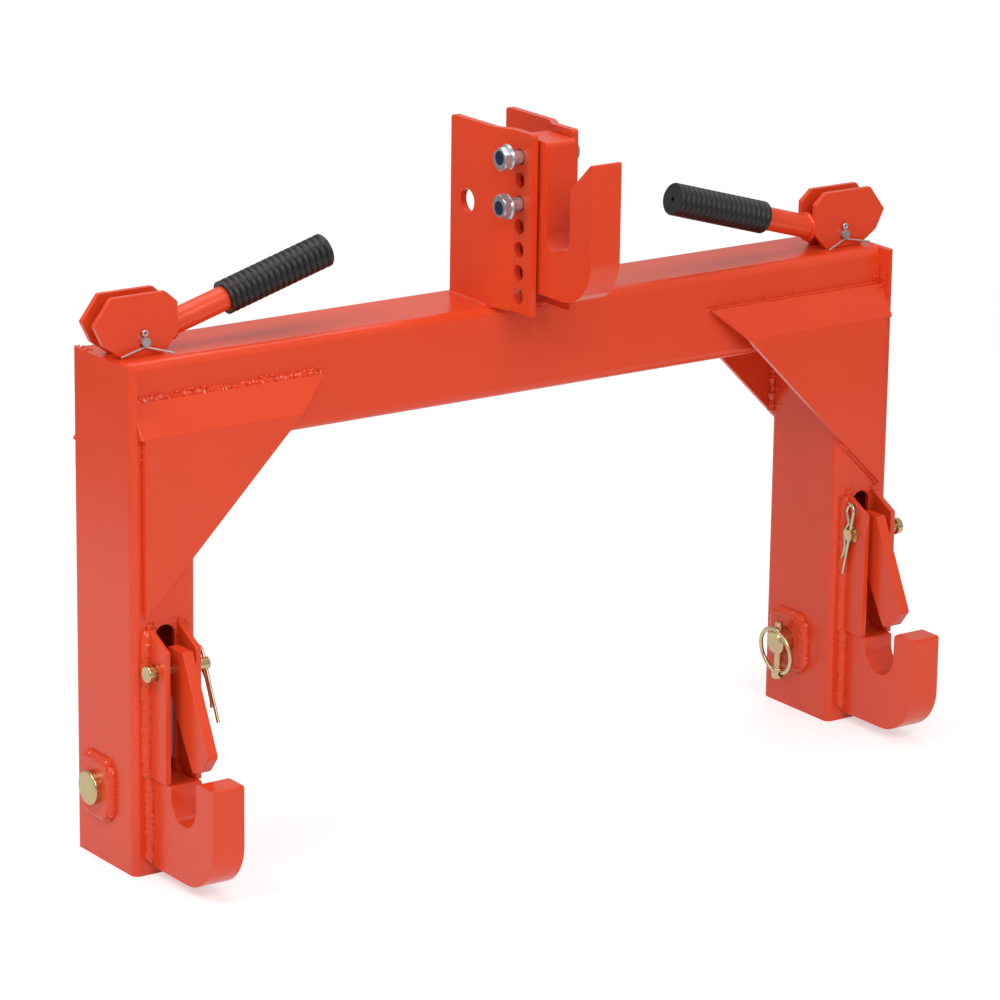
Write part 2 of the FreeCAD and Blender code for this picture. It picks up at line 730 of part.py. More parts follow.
def grip():
    # Ribbed rubber sleeve with a closed end.
    start, along = handle_axis()
    foot = start + along * (handle_length + grip_cap + grip_end_gap - grip_length)
    pitch = (grip_length - grip_cap) / grip_rib_count
    points = [(0, 0), (0, grip_rib_radius)]
    for i in range(grip_rib_count):
        base = i * pitch
        points.append((base + pitch * grip_crest_share, grip_rib_radius))
        points.append((base + pitch * grip_root_share, grip_root_radius))
        points.append((base + pitch, grip_rib_radius))
    points.append((grip_length - grip_end_round, grip_rib_radius))
    points.append((grip_length, grip_rib_radius - grip_end_round))
    points.append((grip_length, 0))
    face = outline(points, lambda p: vec(p.x, p.y, 0))
    sleeve = face.revolve(vec(0, 0, 0), vec(1, 0, 0), 360)
    hollow = rod_x(-1, grip_length - grip_cap, 0, 0, handle_radius + fit_gap)
    vent = rod_x(grip_length - grip_cap - 1, grip_length + 1, 0, 0, grip_vent_radius)
    sleeve = sleeve.cut(hollow).cut(vent)
    sleeve.Placement = FreeCAD.Placement(foot, FreeCAD.Rotation(vec(1, 0, 0), along))
    return sleeve


def lever_pin():
    front = cam_front_y - lever_pin_overhang
    back = cam_back_y + cam_thickness
    pin = rod_y(lever_pin_x, front, back, lever_pin_z, lever_pin_radius)
    head = rod_y(lever_pin_x, back, back + lever_pin_head_height, lever_pin_z, lever_pin_head_radius)
    hole = rod_z(lever_pin_x, front + split_hole_from_end, lever_pin_z - 2 * lever_pin_radius,
                 lever_pin_z + 2 * lever_pin_radius, split_wire + loose_gap)
    return pin.fuse(head).cut(hole)


def split_pin():
    # Eye above the pin, two long legs spread below it.
    y = cam_front_y - lever_pin_overhang + split_hole_from_end
    low = vec(lever_pin_x, y, lever_pin_z - lever_pin_radius - split_bend_gap)
    high = vec(lever_pin_x, y, lever_pin_z + lever_pin_radius + split_eye_gap)
    shape = Part.makeCylinder(split_wire, high.z - low.z, low, vec(0, 0, 1))
    eye = Part.makeTorus(split_eye_radius, split_wire, high + vec(0, 0, split_eye_rise), vec(0, 1, 0))
    shape = shape.fuse(eye)
    shape = shape.fuse(Part.makeSphere(split_wire, low))
    for reach in (split_outer_end, split_inner_end):
        end = vec(lever_pin_x + reach[0], y + reach[1], lever_pin_z + reach[2])
        run = end - low
        shape = shape.fuse(Part.makeCylinder(split_wire * split_leg_share, run.Length, low, run))
    return shape.removeSplitter()


def release_rod():
    rod = rod_z(lever_pin_x, lever_y, rod_bottom_z, lever_pin_z, rod_radius)
    half = cam_gap / 2 - rod_eye_side_gap
    eye = rod_y(lever_pin_x, lever_y - half, lever_y + half, lever_pin_z, rod_eye_radius)
    collar = rod_z(lever_pin_x, lever_y, rod_collar_top_z - rod_collar_height, rod_collar_top_z,
                   rod_collar_radius)
    back = lever_y + rod_radius
    foot = [(link_y, link_z + foot_half_height), (back, link_z + foot_half_height, foot_corner),
            (back, link_z - foot_half_height, foot_corner), (link_y, link_z - foot_half_height)]
    plate = plate_x(foot, foot_inner_x, foot_outer_x)
    nose = rod_x(foot_inner_x, foot_outer_x, link_y, link_z, foot_half_height)
    bridge_half = foot_half_height - bridge_end_inset
    bridge = box(lever_pin_x, foot_outer_x, lever_y - rod_radius + bridge_inset, back - bridge_inset,
                 link_z - bridge_half, link_z + bridge_half)
    shape = rod.fuse(eye).fuse(collar).fuse(plate).fuse(nose).fuse(bridge)
    shape = shape.cut(rod_y(lever_pin_x, lever_y - half - 1, lever_y + half + 1, lever_pin_z,
                            lever_pin_radius + fit_gap))
    shape = shape.cut(rod_x(foot_inner_x - 1, foot_outer_x + 1, link_y, link_z, link_pin_radius + fit_gap))
    return shape.removeSplitter()


def link_pin():
    inner = latch_inner_x - latch_side_gap
    pin = rod_x(inner, foot_outer_x, link_y, link_z, link_pin_radius)
    head = rod_x(inner - link_head_height, inner, link_y, link_z, link_head_radius)
    rivet = rod_x(foot_outer_x, foot_outer_x + link_head_height, link_y, link_z, link_head_radius)
    return pin.fuse(head).fuse(rivet)


def rod_spring():
    # The wire follows short straight runs, so the coil keeps few faces.
    low = rod_collar_top_z + spring_wire
    height = beam_bottom - rod_collar_top_z - 2 * spring_wire
    runs = spring_turns * spring_runs
    points = []
    for i in range(runs + 1):
        angle = 2 * math.pi * i / spring_runs
        points.append(vec(spring_radius * math.cos(angle), spring_radius * math.sin(angle),
                          height * i / runs))
    lift = math.atan2(height / spring_turns, 2 * math.pi * spring_radius)
    section = []
    for i in range(spring_sides + 1):
        angle = 2 * math.pi * i / spring_sides
        out = spring_wire * math.cos(angle)
        up = spring_wire * math.sin(angle)
        section.append(vec(spring_radius + out, -up * math.sin(lift), up * math.cos(lift)))
    path = Part.Wire(Part.makePolygon(points))
    coil = path.makePipeShell([Part.Wire(Part.makePolygon(section))], True, True, 1)
    coil.translate(vec(lever_pin_x, lever_y, low))
    return coil


def save(name, shape):
    shape = shape.copy()
    shape.translate(vec(0, depth_shift, 0))
    shape.exportStep("parts/" + name + ".step")


def mirrored(shape):
    return shape.mirror(vec(0, 0, 0), vec(1, 0, 0))


def save_pair(name, shape):
    save("right_" + name, shape)
    save("left_" + name, mirrored(shape))


def main():
    save_pair("leg", leg())
    save("top_beam", beam())
    save("right_front_gusset", front_gusset(right_gusset_inset, right_gusset_ear_gap))
    save("left_front_gusset", mirrored(front_gusset(left_gusset_inset, left_gusset_ear_gap)))
    save_pair("rear_gusset", rear_gusset())
    save_pair("mast_plate", mast_plate())
    save("top_hook", top_hook())
    save("top_hook_bolts", top_hook_bolts())
    save("top_hook_nuts", top_hook_nuts())
    save_pair("lower_hook", lower_hook())
    save_pair("outer_ear", outer_ear())
    save_pair("inner_ear", inner_ear())
    save_pair("latch", latch())
    save("right_latch_pin", latch_pin(right_pin_overhang, right_clip_tilt))
    save("left_latch_pin", mirrored(latch_pin(left_pin_overhang, left_clip_tilt)))
    save_pair("latch_washers", latch_washers())
    save("right_latch_clip", spring_clip(right_pin_overhang, right_clip_tilt, right_clip_bow))
    save("left_latch_clip", mirrored(spring_clip(left_pin_overhang, left_clip_tilt, left_clip_bow)))
    save_pair("outer_pad", outer_pad())
    save_pair("inner_pad", inner_pad())
    save_pair("lift_pin", lift_pin())
    save_pair("lynch_pin", lynch_pin())
    save_pair("lynch_ring", lynch_ring())
    save_pair("front_cam_plate", front_cam_plate())
    save_pair("back_cam_plate", back_cam_plate())
    save_pair("handle_bar", handle_bar())
    save_pair("handle_grip", grip())
    save_pair("lever_pin", lever_pin())
    save_pair("split_pin", split_pin())
    save_pair("release_rod", release_rod())
    save_pair("link_pin", link_pin())
    save_pair("rod_spring", rod_spring())


main()
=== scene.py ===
import json
import math
import random

import bmesh
import bpy
from mathutils import Matrix, Vector

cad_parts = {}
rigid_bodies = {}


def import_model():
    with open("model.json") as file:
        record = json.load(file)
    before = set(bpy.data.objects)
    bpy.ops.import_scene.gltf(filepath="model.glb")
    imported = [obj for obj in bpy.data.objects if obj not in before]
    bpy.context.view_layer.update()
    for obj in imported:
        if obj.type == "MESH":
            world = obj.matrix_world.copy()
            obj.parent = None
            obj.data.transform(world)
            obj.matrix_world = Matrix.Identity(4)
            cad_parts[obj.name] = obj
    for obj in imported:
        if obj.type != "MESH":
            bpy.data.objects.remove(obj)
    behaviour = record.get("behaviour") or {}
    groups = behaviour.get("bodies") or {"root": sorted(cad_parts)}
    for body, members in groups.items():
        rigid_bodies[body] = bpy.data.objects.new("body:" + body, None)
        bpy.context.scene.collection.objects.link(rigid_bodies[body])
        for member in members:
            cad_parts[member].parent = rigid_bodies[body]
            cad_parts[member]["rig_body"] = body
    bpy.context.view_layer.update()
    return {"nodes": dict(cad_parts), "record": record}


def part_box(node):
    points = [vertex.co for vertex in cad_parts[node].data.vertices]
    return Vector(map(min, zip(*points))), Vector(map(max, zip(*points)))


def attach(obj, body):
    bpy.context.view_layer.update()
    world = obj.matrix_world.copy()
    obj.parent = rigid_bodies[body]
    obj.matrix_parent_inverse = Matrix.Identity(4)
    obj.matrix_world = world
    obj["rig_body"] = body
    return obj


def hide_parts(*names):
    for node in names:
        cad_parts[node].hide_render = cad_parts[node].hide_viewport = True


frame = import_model()

bl_info = {
    "name": "Three point quick hitch dressing",
    "version": (1, 0, 0),
    "blender": (4, 5, 0),
    "location": "3D View > Sidebar > Hitch",
    "description": "Finishes the quick hitch: paint, weld beads, plated pins, clips and rubber grips",
    "category": "Object",
}

MM = 0.001
SIDES = ("left", "right")
SMOOTH_ANGLE = 32  # edges sharper than this, in degrees, stay sharp
FLAME_CUT = ("lower_hook", "latch")
PAINTED_PLATES = ("front_gusset", "rear_gusset", "mast_plate", "lower_hook", "outer_ear", "inner_ear",
                  "latch", "outer_pad", "inner_pad", "front_cam_plate", "back_cam_plate")
PAINTED_TUBES = ("leg", "handle_bar")


# ---------------------------------------------------------------- settings

def srgb(code):
    """sRGB hex text to fractions of full colour."""
    return tuple(int(code[i:i + 2], 16) / 255 for i in (0, 2, 4))


class HitchSizes(bpy.types.PropertyGroup):
    plate_arris: bpy.props.FloatProperty(
        name="Plate arris", description="Rounding that the cut edges of the plates get from paint",
        default=0.7 * MM, min=0.1 * MM, max=2 * MM, subtype="DISTANCE", unit="LENGTH")
    tube_arris: bpy.props.FloatProperty(
        name="Tube arris", description="Rounding of the sawn ends of the tubes",
        default=0.5 * MM, min=0.1 * MM, max=2 * MM, subtype="DISTANCE", unit="LENGTH")
    heavy_weld: bpy.props.FloatProperty(
        name="Heavy weld", description="Width of the beads along the ears, hooks and pads",
        default=11.5 * MM, min=2 * MM, max=15 * MM, subtype="DISTANCE", unit="LENGTH")
    light_weld: bpy.props.FloatProperty(
        name="Light weld", description="Width of the beads along the gussets and the mast plates",
        default=5.0 * MM, min=2 * MM, max=12 * MM, subtype="DISTANCE", unit="LENGTH")
    weld_pitch: bpy.props.FloatProperty(
        name="Weld ripple", description="Distance between the ripples of a weld bead",
        default=3.2 * MM, min=1 * MM, max=6 * MM, subtype="DISTANCE", unit="LENGTH")


class HitchColours(bpy.types.PropertyGroup):
    paint: bpy.props.FloatVectorProperty(
        name="Enamel", description="Orange-red enamel of the frame", subtype="COLOR_GAMMA",
        size=3, min=0, max=1, default=srgb("E04520"))
    bright_zinc: bpy.props.FloatVectorProperty(
        name="Bright zinc", description="Clear plated bolts and nuts", subtype="COLOR_GAMMA",
        size=3, min=0, max=1, default=srgb("C4C8CE"))
    yellow_zinc: bpy.props.FloatVectorProperty(
        name="Yellow zinc", description="Yellow plated pins", subtype="COLOR_GAMMA",
        size=3, min=0, max=1, default=srgb("D0C68C"))
    rose_zinc: bpy.props.FloatVectorProperty(
        name="Rose tint", description="Pink cast that the yellow plate's film has in places",
        subtype="COLOR_GAMMA", size=3, min=0, max=1, default=srgb("DCB092"))
    clip_wire: bpy.props.FloatVectorProperty(
        name="Clip wire", description="Plated spring wire of the clips and rings", subtype="COLOR_GAMMA",
        size=3, min=0, max=1, default=srgb("D6C8B8"))
    blue_zinc: bpy.props.FloatVectorProperty(
        name="Blue zinc", description="Dark blue film in the hollow of a bolt's head",
        subtype="COLOR_GAMMA", size=3, min=0, max=1, default=srgb("3C506E"))
    rubber: bpy.props.FloatVectorProperty(
        name="Rubber", description="Moulded black grip", subtype="COLOR_GAMMA",
        size=3, min=0, max=1, default=srgb("1C1C1D"))
    bare_steel: bpy.props.FloatVectorProperty(
        name="Bare steel", description="Mill surface inside the tubes and on the rods",
        subtype="COLOR_GAMMA", size=3, min=0, max=1, default=srgb("6E6863"))


def sizes():
    return bpy.context.scene.hitch_sizes


def colours():
    return bpy.context.scene.hitch_colours


# ---------------------------------------------------------------- materials

def linear(colour):
    """sRGB colour to a linear colour with alpha."""
    made = []
    for c in colour:
        made.append(c / 12.92 if c <= 0.04045 else ((c + 0.055) / 1.055) ** 2.4)
    return (*made, 1.0)


def node(tree, kind, links=(), **settings):
    """Adds a node, sets its fields and sockets, and links its inputs."""
    made = tree.nodes.new(kind)
    for key, value in settings.items():
        if hasattr(made, key):
            setattr(made, key, value)
        else:
            made.inputs[key.replace("_", " ")].default_value = value
    for socket, source in links:
        tree.links.new(source, made.inputs[socket])
    return made


def new_material(name):
    material = bpy.data.materials.new(name)
    material.use_nodes = True
    tree = material.node_tree
    tree.nodes.clear()
    surface = tree.nodes.new("ShaderNodeBsdfPrincipled")
    out = tree.nodes.new("ShaderNodeOutputMaterial")
    tree.links.new(surface.outputs[0], out.inputs[0])
    place = tree.nodes.new("ShaderNodeTexCoord").outputs["Object"]
    return material, tree, surface, place


def enamel(name, flame_cut=False, wet=0.0):
    """Sprayed and baked alkyd enamel on steel: smooth, glossy, slight orange peel and thin colour drift."""
    material, tree, surface, place = new_material(name)
    base = linear(colours().paint)
    drift = node(tree, "ShaderNodeTexNoise", [("Vector", place)], Scale=1 / (70 * MM), Detail=3.0)
    tone = node(tree, "ShaderNodeMix", [(0, drift.outputs[0])], data_type="RGBA")
    tone.inputs[6].default_value = tuple(c * 0.95 for c in base[:3]) + (1,)
    tone.inputs[7].default_value = tuple(min(1, c * 1.05) for c in base[:3]) + (1,)
    tree.links.new(tone.outputs[2], surface.inputs["Base Color"])
    # Orange peel: about 1.5 mm cells, very shallow.
    peel = node(tree, "ShaderNodeTexNoise", [("Vector", place)], Scale=1 / (1.5 * MM), Detail=1.0)
    bump = node(tree, "ShaderNodeBump", [("Height", peel.outputs[0])], Strength=0.06, Distance=0.05 * MM)
    if flame_cut:
        bump = drag_lines(tree, place, bump)
    tree.links.new(bump.outputs[0], surface.inputs["Normal"])
    rough = node(tree, "ShaderNodeMapRange", [("Value", drift.outputs[0])])
    rough.inputs["To Min"].default_value = 0.2 - wet
    rough.inputs["To Max"].default_value = 0.28 - wet
    tree.links.new(rough.outputs[0], surface.inputs["Roughness"])
    surface.inputs["IOR"].default_value = 1.46
    return material


def drag_lines(tree, place, under):
    """Lines that a cutting flame leaves across a plate's cut edges, which the paint doesn't fill."""
    # Real lines are about 1 mm apart; these are 3 mm apart, so that they show.
    drawn_out = node(tree, "ShaderNodeMapping", [("Vector", place)], Scale=(0.02, 1, 1))
    lines = node(tree, "ShaderNodeTexNoise", [("Vector", drawn_out.outputs[0])],
                 Scale=1 / (3 * MM), Detail=1.0)
    normal = tree.nodes.new("ShaderNodeNewGeometry").outputs["Normal"]
    facing = node(tree, "ShaderNodeSeparateXYZ", [(0, normal)])
    broad = node(tree, "ShaderNodeMath", [(0, facing.outputs[0])], operation="ABSOLUTE")
    edge = node(tree, "ShaderNodeMath", [(1, broad.outputs[0])], operation="SUBTRACT")
    edge.inputs[0].default_value = 1.0
    return node(tree, "ShaderNodeBump", [("Height", lines.outputs[0]), ("Strength", edge.outputs[0]),
                                         ("Normal", under.outputs[0])], Distance=0.12 * MM)


def plated(name, colour, other, roughness, metallic=1.0):
    """Zinc plated steel: smooth metal whose passivation film drifts between two tints."""
    material, tree, surface, place = new_material(name)
    cloud = node(tree, "ShaderNodeTexNoise", [("Vector", place)], Scale=1 / (14 * MM), Detail=2.0)
    share = node(tree, "ShaderNodeMapRange", [("Value", cloud.outputs[0])])
    share.inputs["From Min"].default_value = 0.3
    share.inputs["From Max"].default_value = 0.75
    tone = node(tree, "ShaderNodeMix", [(0, share.outputs[0])], data_type="RGBA")
    tone.inputs[6].default_value = linear(colour)
    tone.inputs[7].default_value = linear(other)
    tree.links.new(tone.outputs[2], surface.inputs["Base Color"])
    surface.inputs["Metallic"].default_value = metallic
    rough = node(tree, "ShaderNodeMapRange", [("Value", cloud.outputs[0])])
    rough.inputs["To Min"].default_value = roughness
    rough.inputs["To Max"].default_value = roughness + 0.1
    tree.links.new(rough.outputs[0], surface.inputs["Roughness"])
    return material


def grip_rubber():
    """Moulded vinyl rubber: nearly black, soft sheen from a fine matt mould."""
    material, tree, surface, place = new_material("moulded_rubber")
    base = linear(colours().rubber)
    grain = node(tree, "ShaderNodeTexNoise", [("Vector", place)], Scale=1 / (0.8 * MM), Detail=2.0)
    tone = node(tree, "ShaderNodeMix", [(0, grain.outputs[0])], data_type="RGBA")
    tone.inputs[6].default_value = tuple(c * 0.8 for c in base[:3]) + (1,)
    tone.inputs[7].default_value = tuple(c * 1.4 for c in base[:3]) + (1,)
    tree.links.new(tone.outputs[2], surface.inputs["Base Color"])
    bump = node(tree, "ShaderNodeBump", [("Height", grain.outputs[0])], Strength=0.15, Distance=0.1 * MM)
    tree.links.new(bump.outputs[0], surface.inputs["Normal"])
    surface.inputs["Roughness"].default_value = 0.4
    return material


def mill_steel():
    """Hot rolled steel, never painted: grey-brown scale with rubbed streaks."""
    material, tree, surface, place = new_material("mill_scale_steel")
    base = linear(colours().bare_steel)
    streak = node(tree, "ShaderNodeTexNoise", [("Vector", place)], Scale=1 / (6 * MM), Detail=5.0)
    tone = node(tree, "ShaderNodeMix", [(0, streak.outputs[0])], data_type="RGBA")
    tone.inputs[6].default_value = tuple(c * 0.6 for c in base[:3]) + (1,)
    tone.inputs[7].default_value = tuple(c * 1.2 for c in base[:3]) + (1,)
    tree.links.new(tone.outputs[2], surface.inputs["Base Color"])
    surface.inputs["Metallic"].default_value = 0.6
    surface.inputs["Roughness"].default_value = 0.5
    return material


MATERIALS = {}


def finish_of(name):
    if not MATERIALS:
        tint = colours()
        MATERIALS["paint"] = enamel("sprayed_enamel")
        MATERIALS["flame_cut_paint"] = enamel("enamel_on_flame_cut_plate", flame_cut=True)
        MATERIALS["weld_paint"] = enamel("enamel_pooled_on_welds", wet=0.1)
        MATERIALS["bright_zinc"] = plated("bright_zinc_plate", tint.bright_zinc, tint.bright_zinc, 0.2, 0.75)
        MATERIALS["blue_zinc"] = plated("blue_zinc_plate", tint.blue_zinc, tint.blue_zinc, 0.2, 0.75)
        MATERIALS["yellow_zinc"] = plated("yellow_zinc_plate", tint.yellow_zinc, tint.rose_zinc, 0.16)
        MATERIALS["clip_wire"] = plated("plated_spring_wire", tint.clip_wire, tint.yellow_zinc, 0.18)
        MATERIALS["rubber"] = grip_rubber()
        MATERIALS["bare_steel"] = mill_steel()
    return MATERIALS[name]


def cover(piece, name):
    piece.data.materials.clear()
    piece.data.materials.append(finish_of(name))


# ---------------------------------------------------------------- mesh helpers

def body_of_node(name):
    return frame["nodes"][name]["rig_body"]


def slot_of_node(name):
    for entry in frame["record"]["subparts"]:
        if entry["node"] == name:
            return entry["material_slot"]
    raise RuntimeError("no material slot for " + name)


def add_piece(name, mesh_maker, slot, body, replaces=(), finish=None):
    """Turns a bmesh into a finished piece that rides on a body."""
    mesh = bpy.data.meshes.new(name)
    mesh_maker.to_mesh(mesh)
    mesh_maker.free()
    piece = bpy.data.objects.new(name, mesh)
    bpy.context.scene.collection.objects.link(piece)
    for polygon in mesh.polygons:
        polygon.use_smooth = True
    mesh.set_sharp_from_angle(angle=math.radians(SMOOTH_ANGLE))
    cover(piece, finish or slot)
    # Broad faces stay flat right up to their rounded arrises.
    even = piece.modifiers.new("flat faces", "WEIGHTED_NORMAL")
    even.keep_sharp = True
    even.weight = 100
    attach(piece, body)
    if replaces:
        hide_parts(*replaces)
    return piece


def merged_copy(name):
    """Editable copy of a CAD node: its triangles joined up and its flat faces made whole."""
    work = bmesh.new()
    work.from_mesh(frame["nodes"][name].data)
    bmesh.ops.remove_doubles(work, verts=work.verts, dist=0.002 * MM)
    bmesh.ops.dissolve_limit(work, angle_limit=math.radians(1.0), verts=work.verts, edges=work.edges,
                             use_dissolve_boundaries=False)
    return work


def soften_arrises(work, width, segments=2, angle=35):
    """Rounds the sharp edges, as paint and grinding leave them."""
    limit = math.radians(angle)
    sharp = [e for e in work.edges if len(e.link_faces) == 2 and e.calc_face_angle(0) > limit]
    bmesh.ops.bevel(work, geom=sharp, offset=width, offset_type="OFFSET", segments=segments,
                    profile=0.5, affect="EDGES", material=-1, clamp_overlap=True)
    bmesh.ops.triangulate(work, faces=[f for f in work.faces if len(f.verts) > 4])


def dress(name, width, finish=None):
    work = merged_copy(name)
    soften_arrises(work, width)
    return add_piece(name + "_finished", work, slot_of_node(name), body_of_node(name), [name], finish)


# ---------------------------------------------------------------- welds

WELD_STEP = 1.1 * MM  # between the rings of a bead
WELD_SIDES = 11
LEAN = Vector((0.31, 0.52, 0.8))  # slants to every weld, so that the rings never twist
SETTLING = 0.35  # share of its way to the next size that a bead goes at each ring
SWELLING = 1.6  # how much of the lumps goes to the bead's size
ROUGHNESS = 0.5  # how much of the lumps goes to the bead's skin
RIPPLE = 0.035  # height of a ripple, as a share of the bead's radius
BLUNT_END = 0.12  # 0 would be a round end and 1 a square one
SKIN = 0.2 * MM  # how far spatter reaches into the face that it sticks to


def stations(path):
    """Evenly spaced points along a polyline."""
    points = []
    for start, end in zip(path, path[1:]):
        steps = max(2, round((end - start).length / WELD_STEP))
        points += [start.lerp(end, i / steps) for i in range(steps)]
    points.append(path[-1])
    return points


def bead(work, path, width, lumps, draw):
    """Adds a rippled weld bead, round ended and half sunk in the corner that it fills."""
    points = stations([Vector(p) for p in path])
    last = len(points) - 1
    rings = []
    swell = 1.0
    for i, point in enumerate(points):
        along = (points[min(i + 1, last)] - points[max(i - 1, 0)]).normalized()
        across = along.cross(LEAN).normalized()
        lift = along.cross(across)
        swell += SETTLING * (1.0 + SWELLING * lumps * draw.uniform(-1, 1) - swell)
        ripple = 1 + RIPPLE * math.cos(2 * math.pi * i * WELD_STEP / sizes().weld_pitch)
        near_end = min(i, last - i) * WELD_STEP / (0.5 * width)
        radius = 0.5 * width * swell * ripple * math.sqrt(min(1.0, BLUNT_END + near_end))
        ring = []
        for k in range(WELD_SIDES):
            turn = 2 * math.pi * k / WELD_SIDES
            reach = radius * (1 + ROUGHNESS * lumps * draw.uniform(-1, 1))
            ring.append(work.verts.new(point + (across * math.cos(turn) + lift * math.sin(turn)) * reach))
        rings.append(ring)
    for ring, after in zip(rings, rings[1:]):
        for k in range(WELD_SIDES):
            n = (k + 1) % WELD_SIDES
            work.faces.new((ring[k], ring[n], after[n], after[k]))
    work.faces.new(list(reversed(rings[0])))
    work.faces.new(rings[-1])


def spatter(work, low, high, count, largest, draw):
    """Adds beads of spatter, stuck at random places in a box."""
    smallest = 0.35
    for _ in range(count):
        place = [draw.uniform(a, b) for a, b in zip(low, high)]
        size = largest * draw.uniform(smallest, 1.0)
        bmesh.ops.create_icosphere(work, subdivisions=2, radius=size, matrix=Matrix.Translation(place))


def outward(side):
    return 1 if side == "right" else -1


def lowest_corner(name):
    """Outermost of a node's lowest corners."""
    corners = frame["nodes"][name].data.vertices
    low = min(v.co.z for v in corners)
    return max((v.co for v in corners if v.co.z < low + 0.1 * MM), key=lambda c: abs(c.x))


def leg_faces(side):
    """Outer and inner face in X and front and back face in Y of a leg."""
    low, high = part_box(side + "_leg")
    if side == "left":
        return low.x, high.x, low.y, high.y
    return high.x, low.x, low.y, high.y


def cheek_and_tip(side):
    """Outer and inner end in X of a front gusset."""
    low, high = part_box(side + "_front_gusset")
    return (high.x, low.x) if side == "right" else (low.x, high.x)


def ear_and_hook_welds(work, side, draw):
    """Beads on both sides of the hook and the ears, up the leg's front."""
    front = leg_faces(side)[2]
    hook_low, hook_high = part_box(side + "_lower_hook")
    lumps = 0.06 if side == "left" else 0.04
    bare_end = 2 * MM
    cap_reach = 3 * MM  # half length of the blob on an ear's top end
    cap_width = 6 * MM
    spread = 4 * MM
    for ear in ("outer_ear", "inner_ear"):
        low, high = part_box("_".join((side, ear)))
        outer_side = (ear == "outer_ear") == (side == "right")
        face = high.x if outer_side else low.x
        hook_face = hook_high.x if outer_side else hook_low.x
        bead(work, [(hook_face, front, hook_low.z + bare_end), (hook_face, front, low.z),
                    (face, front, low.z + 3 * MM), (face, front, high.z - bare_end)],
             sizes().heavy_weld, lumps, draw)
        middle = (low.x + high.x) / 2
        bead(work, [(middle - cap_reach, front, high.z), (middle + cap_reach, front, high.z + 1 * MM)],
             cap_width, 0.25, draw)
        spatter(work, (low.x - spread, front - 0.3 * MM, high.z - 6 * MM),
                (high.x + spread, front, high.z + 7 * MM), 9, 1.1 * MM, draw)


def pad_welds(work, side, draw):
    """Bead all round both square pads."""
    outer, inner = leg_faces(side)[:2]
    for pad, face in (("outer_pad", outer), ("inner_pad", inner)):
        low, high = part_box("_".join((side, pad)))
        corners = [(face, low.y, low.z), (face, low.y, high.z), (face, high.y, high.z),
                   (face, high.y, low.z)]
        for a, b in zip(corners, corners[1:] + corners[:1]):
            bead(work, [a, b], sizes().heavy_weld, 0.05, draw)
        spatter(work, (face - SKIN, low.y, high.z + 3 * MM), (face + SKIN, high.y, high.z + 9 * MM),
                5, 0.8 * MM, draw)


def gusset_welds(work, side, draw):
    """Beads along the front gusset's top, outer edge and lower slope, and the rear gusset's inside."""
    sign = outward(side)
    inner, front, back = leg_faces(side)[1:]
    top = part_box(side + "_front_gusset")[1].z
    foot = lowest_corner(side + "_front_gusset")
    beam_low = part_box("top_beam")[0]
    cheek, tip = cheek_and_tip(side)
    width = sizes().light_weld
    rough_weld = side == "left"
    bead(work, [(cheek, beam_low.y, top - 1 * MM), (tip - sign * 1 * MM, beam_low.y, top - 1 * MM)],
         width * (1.5 if rough_weld else 0.7), 0.4 if rough_weld else 0.2, draw)
    spatter(work, (min(cheek, tip), beam_low.y - 1.2 * MM, top - 3 * MM),
            (max(cheek, tip), beam_low.y + SKIN, top + 4 * MM), 150 if rough_weld else 30,
            1.8 * MM if rough_weld else 0.9 * MM, draw)
    if rough_weld:
        # The left gusset's outer edge is only painted over, with a few drips at the beam's foot.
        spatter(work, (foot.x - 4 * MM, front - 0.3 * MM, beam_low.z - 4 * MM),
                (foot.x, front, beam_low.z + 14 * MM), 8, 1.3 * MM, draw)
    else:
        bead(work, [(foot.x, front, foot.z - 2 * MM), (foot.x, front, beam_low.z)], 0.55 * width, 0.12, draw)
    # Both gussets' slopes run at 45 degrees, so a height along them is a distance across.
    slope_top = foot.z + abs(foot.x - inner)
    bead(work, [(inner + sign * 4 * MM, front, slope_top - 4 * MM), (foot.x, front, foot.z)],
         width, 0.15, draw)
    rear = lowest_corner(side + "_rear_gusset")
    crossing = rear.z + abs(rear.x - inner)
    bead(work, [(inner, back - 1 * MM, crossing), (inner, back - 1 * MM, beam_low.z)],
         1.6 * width, 0.35, draw)
    # The beam's rounded lower corner leaves a gap beside the rear gusset, which a short run fills.
    gap_z = beam_low.z + 1.5 * MM
    bead(work, [(rear.x - sign * 2 * MM, back - 0.5 * MM, gap_z),
                (sign * 3 * MM - sign * beam_low.x, back - 0.5 * MM, gap_z)], 1.3 * width, 0.1, draw)
    run_out = rear.x - sign * (beam_low.z - rear.z)
    bead(work, [(inner, back, beam_low.z), (run_out, back, beam_low.z)], width, 0.2, draw)
    spatter(work, (inner - 3 * MM, back - 10 * MM, crossing), (inner + 1 * MM, back, crossing + 30 * MM),
            14, 1.3 * MM, draw)


